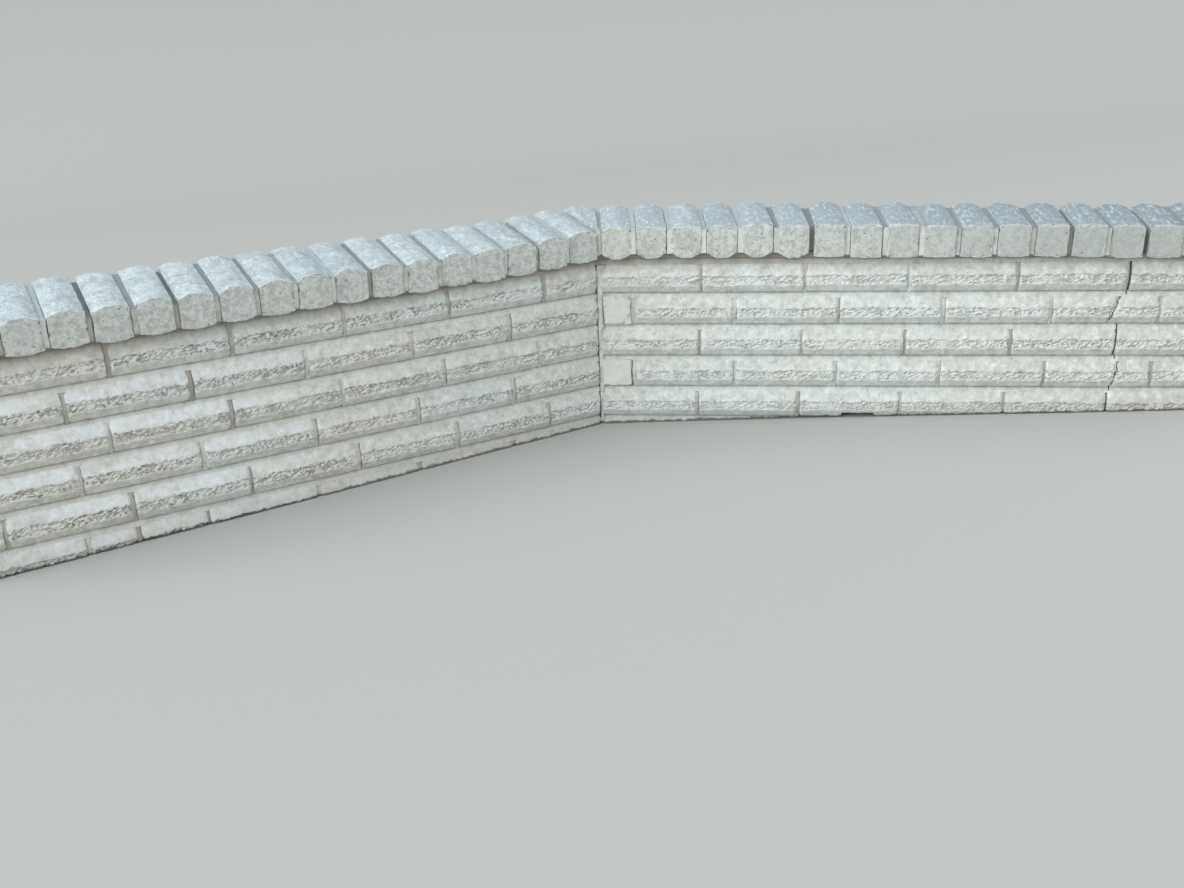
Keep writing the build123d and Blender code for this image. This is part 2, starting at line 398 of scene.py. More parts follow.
pit = put(MULTIPLY_ADD, lost, 3, pit)
depth = put(MIX, back, front, size["Depth"])

# Ends that follow the mitre at the corner, or the slant of the crack
mitre = put(RANGE, to_near, 0, MITRE_REACH, 1, 0)
for share in (put(MARK, "mitred"), depth, size["Side"]):
    mitre = put(MULTIPLY, mitre, share)
moved = put(MULTIPLY_ADD, mitre, -tan(HALF_TURN), along)
ragged = put(NOISE, spot, 1 / (16 * MM), 4, 0.7)
swing = put(SUBTRACT, put(MULTIPLY_ADD, ragged, 0.9, up), 0.95)
frayed = put(MULTIPLY_ADD, ragged, 2 * END_RAGGED, -END_RAGGED)
for distance, slant in ((to_near, "near_slant"), (to_far, "far_slant")):
    nearness = put(RANGE, distance, 0, SLANT_REACH, 1, 0)
    shift = put(MULTIPLY_ADD, swing, put(MARK, slant), frayed)
    moved = put(MULTIPLY_ADD, shift, nearness, moved)
mesh = put(MOVE, mesh, True, put(JOIN, moved, depth, level))
for name, value in (("pit", pit), ("rough", rough)):
    mesh = put(STORE, mesh, True, name, value)
closed_off(put, mesh, BROKEN_BEND, size["Material"])

DUST_FROM = 388 * MM
COPING_FOOT = 404 * MM


def grimed_and_foot_shaded(put, coords, paint):
    """The paint with earth splashed up from the ground, dust gathered under the coping, and a dark
    line at the ground that is partly soil and partly painted shade of the gap under the wall.
    """
    smudge = put(NOISE, coords, 1 / (16 * MM), 5, 0.7)
    slope = (-GROUND_RISE_X, -GROUND_RISE_Y, 1.0)
    above = put(VECTOR + "DOT_PRODUCT", coords, slope)
    uneven = put(MULTIPLY_ADD, smudge, -16 * MM, above)
    splash = put(RANGE, uneven, GROUND_AT_ORIGIN + 26 * MM, GROUND_AT_ORIGIN - 8 * MM, 0, 0.5)
    # A dark line just at the ground: partly soil, partly painted shade of the gap under the wall
    soil_and_gap_shade = put(RANGE, uneven, GROUND_AT_ORIGIN - 2 * MM, GROUND_AT_ORIGIN - 5 * MM, 0, 0.85)
    place = put(SPLIT, coords)
    level = place.outputs["Z"]
    uneven = put(MULTIPLY_ADD, smudge, 24 * MM, level)
    dust = put(RANGE, uneven, DUST_FROM, COPING_FOOT, 0, 0.6)
    dust = put(MULTIPLY, dust, put(RANGE, place, -0.3, 0.3, 1, 0.35))
    dust = put(MULTIPLY, dust, put(RANGE, level, COPING_FOOT, COPING_FOOT + 6 * MM, 1, 0))
    for share, dirt_and_shade in ((splash, "#A5A196"), (dust, "#A39A8A"), (soil_and_gap_shade, "#4F4C45")):
        paint = put(BLEND, share, paint, dirt_and_shade)
    return paint


def weathered_paint(put, coords, tint):
    """Chalky off-white, warmer or bluer in patches as it was touched up, thin and grey in places, and
    greyer towards the right end as painted shade.
    """
    across = put(SPLIT, coords)
    patches = put(RANGE, put(NOISE, coords, 1 / (170 * MM), 5, 0.6), 0.34, 0.66)
    patches = put(MIX, 0.5, patches, tint)
    patches = put(ADD, patches, put(RANGE, across, -1.2, 0.3, -0.5, 0.15), use_clamp=True)
    paint = put(BLEND, patches, "#D0CDC2", "#CFD8D6")
    clouds = put(RANGE, put(NOISE, coords, 1 / (45 * MM), 6, 0.7), 0.42, 0.72, 0, 0.7)
    # The grey rises towards the right end as painted shade
    clouds = put(ADD, clouds, put(RANGE, across, 0.5, 1.2, 0, 0.85), use_clamp=True)
    paint = put(BLEND, clouds, paint, "#BFC1B9")
    mottle = put(NOISE, coords, 1 / (15 * MM), 5, 0.8)
    paint = put(BLEND, put(RANGE, mottle, 0.49, 0.3, 0, 0.8), paint, "#A2A49B")
    return put(BLEND, put(RANGE, mottle, 0.51, 0.66, 0, 0.75), paint, "#E6EAE8")


def painted_over(put, paint, roughness, gloss, relief, depth, strength):
    """End a material: that paint and finish, over a relief too fine for the mesh."""
    bump = put("ShaderNodeBump", Strength=strength, Distance=depth, Height=relief)
    put("ShaderNodeOutputMaterial", put(
        "ShaderNodeBsdfPrincipled", paint, Roughness=roughness, Specular_IOR_Level=gloss, Normal=bump))


# Masonry paint, rolled on and weathered: matt and chalky, with grime and painted shade held in the
# pits of the broken band, painted highlights on its raised chips and painted sky light on the upper bevels
facing_material, put = new_material("weathered_masonry_paint")
coords = put("ShaderNodeTexCoord").outputs["Object"]
tint, pits, roughs, ups = [
    put(ATTRIBUTE + name).outputs["Fac"] for name in ("tint", "pit", "rough", "up")]
paint = weathered_paint(put, coords, tint)
# Painted sky light: the upper bevels lighter and bluer on the lower courses of the far left, in patches
upper = put(RANGE, ups, 0.5, 0.72)
place = put(SPLIT, coords)
low_down = put(RANGE, place.outputs["Z"], 345 * MM, 315 * MM)
far_left = put(RANGE, place, -0.3, -0.8, 0, 0.55)
sky_light_patches = put(RANGE, put(NOISE, coords, 1 / (60 * MM), 5, 0.7), 0.38, 0.58, 0.35)
for share in (far_left, low_down, sky_light_patches):
    upper = put(MULTIPLY, upper, share)
paint = put(BLEND, upper, paint, "#ECF4F8")
specks = put(NOISE, coords, 1 / (3 * MM), 3, 0.7)
paint = put(BLEND, put(RANGE, specks, 0.34, 0.2, 0, 0.5), paint, "#8C8B82")
# Painted highlight: the raised chips of the broken band lighter, as if catching the light
proud = put(MULTIPLY, put(RANGE, pits, 0.35, 0.1, 0, 0.75), roughs)
paint = put(BLEND, proud, paint, "#E2E3DE")
# Darker in the pits of the band and along the furrow: grime held there, and painted shade in the recesses
held = put(MULTIPLY, put(RANGE, pits, 0.4, 0.95, 0, 0.58), specks, use_clamp=True)
paint = put(BLEND, held, paint, "#929188")
paint = grimed_and_foot_shaded(put, coords, paint)
painted_over(put, paint, 0.85, 0.3, specks, 1.2 * MM, put(RANGE, roughs, 0, 1, 0.25))


def brick_seeds(side, bricks):
    """Seeds for bricks, each a line from its near to its far end, with its marks."""
    points = [(x, 0, b["low"]) for b in bricks for x in sorted((side * b["near"], side * b["far"]))]
    marks = {key: [b.get(key, 0.0) for b in bricks for end in range(2)]
             for key in ("tint", "jut", "mitred", "near_slant", "far_slant")}
    for key in ("near", "far"):
        marks[key] = [side * b[key] for b in bricks for end in range(2)]
    return seed_mesh(points, [(i, i + 1) for i in range(0, len(points), 2)], **marks)


BRICK_SIZES = dict(
    Rows=BRICK_ROWS, Grid=GRID, Depth=BRICK_DEPTH, Bevel=FACE_BEVEL, Nose=FACE_NOSE, ChipSize=CHIP_SIZE,
    Wear=ARRIS_WEAR, Material=facing_material)
chance = Random(BOND_SEED)
courses = {}
for leg, side in LEGS.items():
    for course in range(1, COURSES + 1):
        node = f"{leg}_course_{course}"
        laid = []
        for solid in solids_of(node, side):
            front = [abs(p.x) for p in solid if abs(p.y) < 0.1 * MM]
            laid.append(dict(near=min(front), far=max(front)))
        low = min(p.z for p in solid)
        high = max(p.z for p in solid)
        for before, brick in zip(laid, laid[1:]):
            before["far"] += chance.uniform(*END_PLAY[leg])
            brick["near"] -= chance.uniform(*END_PLAY[leg])
        if side > 0 and course in CRACK:
            place, width, slant = [value * MM for value in CRACK[course]]
            for i, brick in enumerate(laid):
                if brick["near"] + CRACK_JUMP < place < brick["far"] - CRACK_JUMP:
                    laid[i:i + 1] = [
                        dict(brick, far=place - width / 2, far_slant=slant),
                        dict(brick, near=place + width / 2, near_slant=slant)]
                    break
                if abs(brick["near"] - place) <= CRACK_JUMP:
                    brick["near"] = place + width / 2
                    laid[i - 1]["far"] = min(laid[i - 1]["far"], place - width / 2)
                    break
        for brick in laid:
            if not brick.get("near_slant"):
                tint = chance.random()
            brick.update(low=low, tint=tint, jut=chance.uniform(-JUT, JUT),
                         mitred=float(brick["near"] < AT_CORNER))
        courses[leg, course] = dict(laid=laid, low=low, high=high)
        sizes = dict(
            BRICK_SIZES, Side=float(side), Height=high - low, ChipDepth=CHIP_DEPTH[leg],
            Seed=0.37 * course + 2.0 * side)
        if side > 0 and course in LOST_EDGE:
            sizes.update(LOST_EDGE[course])
        grown(f"{leg}_facing_course_{course}", brick_seeds(side, laid), brick_tree, sizes,
              leg_frame(side), node, keep=("tint", "pit", "rough", "up"))

# The mortar
# Sand and cement mortar beds and fills every joint of the leaf. It was struck in under the brick
# above and drawn out flush over the brick below, then painted with the wall.
ARRIS_BEND = radians(50)
STRUCK_HEAD = 4 * MM
STRUCK_FOOT = -1.1 * MM
UNDERCUT = 2.6 * MM
PARTED_DEPTH = 3.5 * MM
EDGE_POWER = 7
BED_OVERLAP = 3.5 * MM
BED_START = 2 * MM
UPRIGHT_LAP = 2.2 * MM
UPRIGHT_RECESS = 1.2 * MM
UPRIGHT_SWELL = 6 * MM
JOINT_DEPTH = 62 * MM
COLLAR_DEPTH = 13 * MM
JOINT_GRID = 3.2 * MM
JOINT_ROWS = 6
JOINT_LAP = 1 * MM
JOINT_LUMPS = 1.8 * MM
HEAD_JOINT = 9.5 * MM
FIRST_BRICK = 90 * MM
WALL_TOP = courses["right", COURSES]["high"]


# On the right, by course: the slot where a bed has fallen out, from, to and how far in; and where
# the crack cuts each bed, in millimetres
LOST_BED = {2: (494 * MM, 557 * MM, 20 * MM)}
CRACKED_BEDS = {2: 1010, 3: 1013, 4: 1016, 5: 1012, 6: 1022}
CRACK_IN_BED = 2.8 * MM

joint_tree, put, size = new_growth(
    "struck_joints", Int=("Rows",), Material=("Material",),
    Float=("Grid", "Head", "Foot", "Recess", "Lumps", "Seed"))
mesh = swept_section(put, size)
base = put(VECTOR_MARK, "base")
up = put(MARK, "up")
back = put(MARK, "back")
upright = put(MARK, "upright")
across = put(MULTIPLY, up, put(MARK, "width"))
sideways = put(MULTIPLY, across, upright)
upwards = put(SUBTRACT, across, sideways)
rise = put(MULTIPLY, put(MULTIPLY, up, back), put(MARK, "rise"))
place = put(VECTOR + "ADD", base, put(JOIN, sideways, 0, put(ADD, upwards, rise)))
spot = put(VECTOR + "ADD", place, put(JOIN, 0, size["Seed"]))

# A bed is deepest under the brick above. An upright joint is parted from one of its bricks, and
# a bulge is full at half its width.
turned = put(SUBTRACT, 1, up)
parted = put(MIX, put(MARK, "flip"), up, turned)
parted = put(MATH + "POWER", parted, EDGE_POWER)
lying = put(MIX, up, size["Foot"], size["Head"])
lying = put(MULTIPLY_ADD, put(MATH + "POWER", up, EDGE_POWER), UNDERCUT, lying)
standing = put(MULTIPLY_ADD, parted, PARTED_DEPTH, size["Recess"])
front = put(MIX, upright, lying, standing)
bulge = put(MULTIPLY, put(MULTIPLY, up, turned), put(MARK, "bulge"))
front = put(MULTIPLY_ADD, bulge, -4, front)
lumps = put(SUBTRACT, put(NOISE, spot, 1 / (11 * MM), 4, 0.7), 0.5)
front = put(MULTIPLY_ADD, lumps, size["Lumps"], front)
depth = put(MIX, back, front, put(MARK, "depth"))
mesh = put(MOVE, mesh, True, put(VECTOR + "ADD", place, put(JOIN, 0, depth)))
# The crease mark, at the top of a bed and the parted side of an upright joint, is where the paint is darkened
# as painted shade
crease = put(MIX, upright, put(MATH + "POWER", up, 5), parted)
mesh = put(STORE, mesh, True, "crease", crease)
closed_off(put, mesh, ARRIS_BEND, size["Material"])

# Painted mortar, gritty as the sand in it; where the paint never reached it is grey-brown. It is
# # darkened along its creases as painted shade under the brick above and in the parted cracks, and its
# # tops are tinted blue as a painted sky reflection
mortar_material, put = new_material("painted_sand_mortar")
coords = put("ShaderNodeTexCoord").outputs["Object"]
creases, tone, top = [put(ATTRIBUTE + name).outputs["Fac"] for name in ("crease", "tone", "top")]
tone = put(ADD, tone, put(MULTIPLY_ADD, put(NOISE, coords, 1 / (24 * MM), 5, 0.65), 0.6, -0.3))
bare = put(RANGE, tone, 0.15, 0.5)
bright = put(RANGE, tone, 0.6, 0.95)
coat = weathered_paint(put, coords, 0.5)
paint = put(BLEND, bright, put(BLEND, bare, "#A7A49A", coat), "#DBDCD6")
# Tops darker where dirty, and tinted blue as a painted sky reflection
top_dirt_and_sky_tint = put(BLEND, bright, "#7E898E", "#A6B2B8")
paint = put(BLEND, put(RANGE, top, 0.3, 0.8, 0, 0.85), paint, top_dirt_and_sky_tint)
grit = put(NOISE, coords, 1 / (2.4 * MM), 3, 0.7)
paint = put(BLEND, put(RANGE, grit, 0.4, 0.25, 0, 0.5), paint, "#85837A")
# Painted shade along the creases, broken up in patches
dirt_and_shade = put(RANGE, put(NOISE, coords, 1 / (22 * MM), 3), 0.35, 0.6, 0.45)
paint = put(BLEND, put(MULTIPLY, dirt_and_shade, creases), paint, "#514F49")
paint = grimed_and_foot_shaded(put, coords, paint)
painted_over(put, paint, 0.9, 0.25, grit, 1 * MM, 0.8)

JOINT_MARKS = dict(upright=0, width=0, depth=JOINT_DEPTH, bulge=0, flip=0, rise=0, tone=0.55)


def joint_seeds(joints):
    """Seeds for joints, each a line of points and those of its marks that aren't the usual ones."""
    points, edges = [], []
    marks = {key: [] for key in JOINT_MARKS}
    for line, given in joints:
        first = len(points)
        points += line
        edges += [(i, i + 1) for i in range(first, len(points) - 1)]
        for key, usual in JOINT_MARKS.items():
            value = given.get(key, usual)
            marks[key] += value if isinstance(value, list) else [value] * len(line)
    return seed_mesh(points, edges, **marks)


JOINT_SIZES = dict(
    Rows=JOINT_ROWS, Grid=JOINT_GRID, Head=STRUCK_HEAD, Foot=STRUCK_FOOT, Recess=UPRIGHT_RECESS,
    Lumps=JOINT_LUMPS, Material=mortar_material)
for leg, side in LEGS.items():
    joints = []
    for course in range(1, COURSES + 1):
        laid, low, high = courses[leg, course].values()
        foot = courses[leg, course - 1]["high"] - BED_OVERLAP if course > 1 else 0
        width = low - foot + JOINT_LAP
        runs = [(BED_START, LEG_END)]
        if side > 0 and course in LOST_BED:
            start, end, recess = LOST_BED[course]
            runs = [(BED_START, start), (end, LEG_END)]
            marks = dict(width=width, depth=JOINT_DEPTH - recess, tone=0)
            joints.append(([(x, recess, foot) for x in (start, end)], marks))
        if side > 0 and course in CRACKED_BEDS:
            start, end = runs.pop()
            place = CRACKED_BEDS[course] * MM
            runs += [(start, place - CRACK_IN_BED / 2), (place + CRACK_IN_BED / 2, end)]
        for start, end in runs:
            marks = dict(width=width, tone=0.62 if side > 0 else 0.74)
            joints.append(([(x, 0, foot) for x in sorted((side * start, side * end))], marks))
        gaps = [(before["far"], brick["near"]) for before, brick in zip(laid, laid[1:])]
        if side > 0 and course in CRACK:
            place, width, slant = [value * MM for value in CRACK[course]]
            gaps = [(end, min(start, place - width / 2) if abs(start - place) < width else start)
                    for end, start in gaps]
        if laid[0]["near"] > HEAD_JOINT:
            gaps.insert(0, (laid[0]["near"] - HEAD_JOINT, laid[0]["near"]))
        for end, start in gaps:
            if start - end < JOINT_LAP:
                continue
            left = min(side * end, side * start) - UPRIGHT_LAP / 2
            profile = ((low - JOINT_LAP, 0.0), (low + FACE_BEVEL, -UPRIGHT_SWELL),
                       (high - UPPER_SHARE * FACE_BEVEL, -UPRIGHT_SWELL), (high + JOINT_LAP, 0.0))
            marks = dict(upright=1, width=start - end + UPRIGHT_LAP, flip=float(chance.random() < 0.5))
            marks["tone"] = 0.4 if end < FIRST_BRICK else chance.choice((0.08, 0.25, 0.4, 0.55))
            joints.append(([(left, y, z) for z, y in profile], marks))
    marks = dict(upright=1, width=LEG_END, depth=COLLAR_DEPTH, flip=float(side > 0), tone=0.3)
    joints.append(([(min(0, side * LEG_END), BRICK_DEPTH, z) for z in (0, WALL_TOP)], marks))
    grown(f"{leg}_pointing", joint_seeds(joints), joint_tree, dict(JOINT_SIZES, Seed=1.3 * side),
          leg_frame(side), f"{leg}_mortar", keep=("crease", "tone"))

# The corner
# The two legs meet in an open slit. Down its right side runs a smear of mortar, broad above and
# narrow at the foot, and two rubbed bats of smooth mortar close the third and the fifth course.
CORNER_GAP = 7 * MM
CORNER_FRONT = -WALL_DEPTH / 2 / cos(HALF_TURN)
SMEAR_START = -0.6 * MM
SMEAR_DEPTH = 22 * MM
SLIT_DEPTH = 12 * MM
IN_PLACE = Matrix()

# The smear from the foot up, in millimetres: height, width, and how far it stands out of its seat
SMEAR = (
    (0, 6, 6), (60, 6.5, 7), (120, 7, 8), (150, 7.5, 9), (190, 8.5, 9), (230, 9.5, 9.5),
    (265, 10.5, 10.5), (300, 8.5, 10.5), (335, 13, 11.5), (391.8, 17, 11))
SMEAR_SEAT = 4
SMEAR_RAGGED = 2.4

slit = [(-CORNER_GAP / 2, CORNER_FRONT + SLIT_DEPTH, z) for z in (0, WALL_TOP)]
seeds = joint_seeds([(slit, dict(upright=1, width=CORNER_GAP, tone=0.1))])
grown("corner_core", seeds, joint_tree, dict(JOINT_SIZES, Seed=5.0), IN_PLACE,
      keep=("crease", "tone"))

line, widths = [], []
for (low, wide, proud), (high, wider, prouder) in zip(SMEAR, SMEAR[1:]):
    for share in (0, 1 / 3, 2 / 3):
        back = SMEAR_SEAT - proud - (prouder - proud) * share
        line.append((SMEAR_START, back * MM, (low + (high - low) * share) * MM))
        ragged = chance.uniform(-SMEAR_RAGGED, SMEAR_RAGGED)
        widths.append((wide + (wider - wide) * share + ragged) * MM)
line.append((SMEAR_START, (SMEAR_SEAT - prouder) * MM, high * MM))
widths.append(wider * MM)
smear = dict(upright=1, width=widths, bulge=1 * MM, depth=SMEAR_DEPTH, tone=0.58)
grown("corner_smear", joint_seeds([(line, smear)]), joint_tree,
      dict(JOINT_SIZES, Rows=10, Seed=8.0, Lumps=4 * MM), leg_frame(1), keep=("tone",))

# The coping
# Crowned concrete bricks laid side by side across the wall, a little higher at the back. Their
# tops are cast smooth; their ends are sandy. At the corner they lean together round a wedge.
COPING_CROWN = 9 * MM
COPING_BEVEL = 20 * MM
COPING_ROUND = 2.2 * MM
COPING_FLAT = 10.5 * MM
WIDER = 0.4 * MM
DEEPER = 2.5 * MM
CROWN_BEND = radians(35)
SPACING_EASE = 0.6
BAYS = 6

# Shares of the crown: on top in front, on top at the back, and below in two bays and the others
BROW = {"left": 1.0, "right": 0.35}
POLL = {"left": 0.6, "right": 0.8}
BELLY = {"left": (0.5, 0.5), "right": (1.3, 0.25)}

block_tree, put, size = new_growth(
    "laid_blocks", Int=("GridX", "GridY", "GridZ"), Material=("Material",),
    Float=("Flat", "Bevel", "Crown", "Round", "Chips", "Waves", "Sand", "Seed"))
cube = put("GeometryNodeMeshCube", (2, 2, 2), *[size["Grid" + axis] for axis in "XYZ"])
cube = put(STORE_VECTOR, cube, True, "share", put(POINT))
feet = put(STORE_VECTOR, size["Geometry"], True, "base", put(POINT))
mesh = put("GeometryNodeInstanceOnPoints", Points=feet, Instance=cube)
mesh = put("GeometryNodeRealizeInstances", mesh)

# Rows of points drawn closer together towards the edges
share = put(SPLIT, put(VECTOR_MARK, "share"))
eased = []
for axis in "XYZ":
    bent = put(MATH + "SINE", put(MULTIPLY, share.outputs[axis], pi / 2))
    eased.append(put(MIX, SPACING_EASE, share.outputs[axis], bent))
half_long = put(MULTIPLY, put(MARK, "length"), 0.5)
half_tall = put(MULTIPLY, put(MARK, "height"), 0.5)
go_back = put(MULTIPLY_ADD, eased[1], 0.5, 0.5)
half_wide = put(MIX, go_back, put(MARK, "front_half"), put(MARK, "back_half"))
half = put(JOIN, half_wide, half_long, half_tall)
point = put(VECTOR + "MULTIPLY", put(JOIN, *eased), half)
own = put(VECTOR + "SCALE", put(JOIN, put(MARK, "tint"), size["Seed"]), 7)
spot = put(VECTOR + "ADD", point, own)

# Edges rounded by a radius that varies, and chipped round the ends
wear = put(NOISE, spot, 1 / (11 * MM), 4, 0.75)
near_end = put(RANGE, put(ABSOLUTE, share.outputs["Y"]), 0.6, 0.9, 0.2)
chipped = put(MULTIPLY, put(RANGE, wear, 0.52, 0.66), near_end)
radius = put(MULTIPLY, put(RANGE, wear, 0.3, 0.7, 0.6, 1.4), size["Round"])
radius = put(MULTIPLY_ADD, chipped, size["Chips"], radius)
rounding = put(VECTOR + "SCALE", (1, 1.7, 1), radius)
inner = put(VECTOR + "MAXIMUM", put(VECTOR + "SUBTRACT", half, rounding), (0, 0, 0))
outer = put(VECTOR + "SCALE", inner, -1)
held = put(VECTOR + "MAXIMUM", put(VECTOR + "MINIMUM", point, inner), outer)
facing = put(VECTOR + "DIVIDE", put(VECTOR + "SUBTRACT", point, held), rounding)
facing = put(VECTOR + "NORMALIZE", facing)
rounded = put(VECTOR + "ADD", held, put(VECTOR + "MULTIPLY", facing, rounding))
direction = put(SPLIT, facing)
end_face = put(ABSOLUTE, direction.outputs["Y"])

# Waves on the cast faces and coarse sand on the ends
waves = put(MULTIPLY, put(NOISE, spot, 1 / (24 * MM), 2), size["Waves"])
sand = put(MULTIPLY, put(NOISE, spot, 1 / (7 * MM), 3, 0.7), size["Sand"])
loss = put(MULTIPLY, put(MULTIPLY_ADD, sand, end_face, waves), -1)
rounded = put(VECTOR + "ADD", rounded, put(VECTOR + "SCALE", facing, loss))

# The crown above and below, which falls away on both sides of the flat middle
split = put(SPLIT, rounded)
off_middle = put(SUBTRACT, put(ABSOLUTE, split.outputs["X"]), size["Flat"])
fall = put(MATH + "DIVIDE", off_middle, size["Bevel"], use_clamp=True)
fall = put(MULTIPLY, fall, size["Crown"])
tier = put(MATH + "DIVIDE", split.outputs["Z"], half_tall)
below = put(MATH + "LESS_THAN", tier, 0)
brow = put(MIX, go_back, put(MARK, "brow"), put(MARK, "poll"))
tier = put(MULTIPLY, tier, put(MIX, below, brow, put(MARK, "belly")))
crowned = put(SUBTRACT, split.outputs["Z"], put(MULTIPLY, tier, fall))
inwards = put(ADD, split.outputs["Y"], half_long)
own_place = put(JOIN, split.outputs["X"], inwards, put(ADD, crowned, half_tall))
turn = put("FunctionNodeEulerToRotation", put(JOIN, put(MARK, "tilt"), 0, put(MARK, "lean")))
place = put("FunctionNodeRotateVector", Vector=own_place, Rotation=turn)
mesh = put(MOVE, mesh, True, put(VECTOR + "ADD", place, put(VECTOR_MARK, "base")))
mesh = put(STORE_VECTOR, mesh, True, "own", put(VECTOR + "ADD", own_place, own))
for name, value in (("end", end_face), ("top", direction.outputs["Z"]), ("chip", chipped)):
    mesh = put(STORE, mesh, True, name, value)
closed_off(put, mesh, CROWN_BEND, size["Material"])

# Masonry paint on cast concrete: smooth on top, with scrapes and blown pits, and worn
# # down to the sand on the ends and at the chips. The tops are cool blue as a painted sky reflection,
# # lighter at the far left as painted light and darker to the right as painted shade; the ends darken
# # to the right as painted shade, and the rounded rims carry a painted highlight
coping_material, put = new_material("masonry_paint_on_cast_coping")
own = put(ATTRIBUTE + "own").outputs["Vector"]
ends, tops, chips, tint, tone = [
    put(ATTRIBUTE + name).outputs["Fac"] for name in ("end", "top", "chip", "tint", "tone")]
# Tops tinted blue as a painted sky reflection
sky_lit_top_paint = put(BLEND, tint, "#B4C1C7", "#C5D1D5")
side_paint = put(BLEND, tint, "#BFC2BC", "#C8CBC5")
across = put(SPLIT, put("ShaderNodeTexCoord").outputs["Object"])
# Darker towards the right end: painted shade
sky_lit_top_paint = put(BLEND, put(RANGE, across, -0.3, 1.2), sky_lit_top_paint, "#7D8B95")
# Lighter towards the far left: painted light
sky_lit_top_paint = put(BLEND, put(RANGE, across, -0.6, -1.2, 0, 0.5), sky_lit_top_paint, "#DCE8EC")
paint = put(BLEND, put(RANGE, tops, 0.3, 0.8), side_paint, sky_lit_top_paint)
rasped = put(RANGE, put(NOISE, own, 1 / (4.5 * MM), 3, 0.75), 0.35, 0.65, -0.45, 0.45)
clouds = put(MULTIPLY_ADD, rasped, 0.3, put(NOISE, own, 1 / (34 * MM), 6, 0.7))
clouds = put(RANGE, clouds, 0.45, 0.62, 0, 0.75)
paint = put(BLEND, clouds, paint, "#A0ABAD")
stretched = put(VECTOR + "MULTIPLY", own, (1, 0.22, 1))
scrapes = put(RANGE, put(NOISE, stretched, 1 / (6 * MM), 4, 0.7), 0.52, 0.68, 0, 0.8)
paint = put(BLEND, scrapes, paint, "#DEE7EA")
mottle = put(NOISE, own, 1 / (9 * MM), 5, 0.8)
paint = put(BLEND, put(RANGE, mottle, 0.49, 0.32, 0, 0.9), paint, "#8B989E")
grain = put(NOISE, own, 1 / (3.4 * MM), 4, 0.7)
dots = put(RANGE, grain, 0.42, 0.32, 0, 0.65)
blown = put("ShaderNodeTexVoronoi", Vector=own, Scale=1 / (21 * MM))
holes = put(RANGE, blown.outputs["Distance"], 0.1, 0.06, 0, 0.8)
dots = put(MATH + "MAXIMUM", dots, holes)
sandy = put(RANGE, put(NOISE, own, 1 / (12 * MM), 7, 0.7), 0.38, 0.6)
sandy = put(ADD, sandy, rasped, use_clamp=True)
sand_paint = put(BLEND, tone, put(BLEND, sandy, "#B4B6AF", "#D5DAD5"), "#D6CFBC")
# Ends darker towards the right end: painted shade
sand_paint = put(BLEND, put(RANGE, across, 0.3, 0.9, 0, 0.65), sand_paint, "#A2A7A2")
bared = put(RANGE, put(MATH + "MAXIMUM", ends, chips), 0.55, 0.95)
paint = put(BLEND, bared, paint, sand_paint)
# Lighter round the rounded rims of the ends: painted highlight, and white paint chipped along the arrises
rim_highlight = put(RANGE, put(SUBTRACT, ends, put(MULTIPLY, ends, ends)), 0, 0.2, 0, 0.5)
paint = put(BLEND, dots, put(BLEND, rim_highlight, paint, "#D8DBD7"), "#6B6D69")
painted_over(put, paint, 0.82, 0.3, grain, 1.4 * MM, 0.9)


def turned_by(tilt, lean):
    """The turn that tips a brick up at the back and then swings it round."""
    return Matrix.Rotation(lean, 3, "Z") @ Matrix.Rotation(tilt, 3, "X")


def lie_of(solid):
    """The foot in front, length, height, tilt, lean and half widths of a coping brick."""
    by_depth = sorted(solid, key=lambda p: p.y)
    half = len(solid) // 2
    front = by_depth[:half]
    middle = sum(front, Vector()) / half
    axis = sum(by_depth[half:], Vector()) / half - middle
    length = axis.length
    axis.normalize()
    lean = atan2(-axis.x, axis.y)
    tilt = asin(axis.z)
    local = [turned_by(tilt, lean).transposed() @ (p - middle) for p in front]
    wide = max(p.x for p in local) - min(p.x for p in local)
    tall = max(p.z for p in local) - min(p.z for p in local)
    foot = middle - turned_by(tilt, lean) @ Vector((0, 0, tall / 2))
    return dict(
        foot=foot, length=length, height=tall, tilt=tilt, lean=lean, front_half=wide / 2, back_half=wide / 2)


def block_seeds(blocks):
    """Seeds for blocks, each given by its foot and its marks. A mark that is left out is one."""
    keys = "length height front_half back_half tilt lean tint tone belly brow poll".split()
    return seed_mesh([b["foot"] for b in blocks], **{key: [b.get(key, 1.0) for b in blocks] for key in keys})


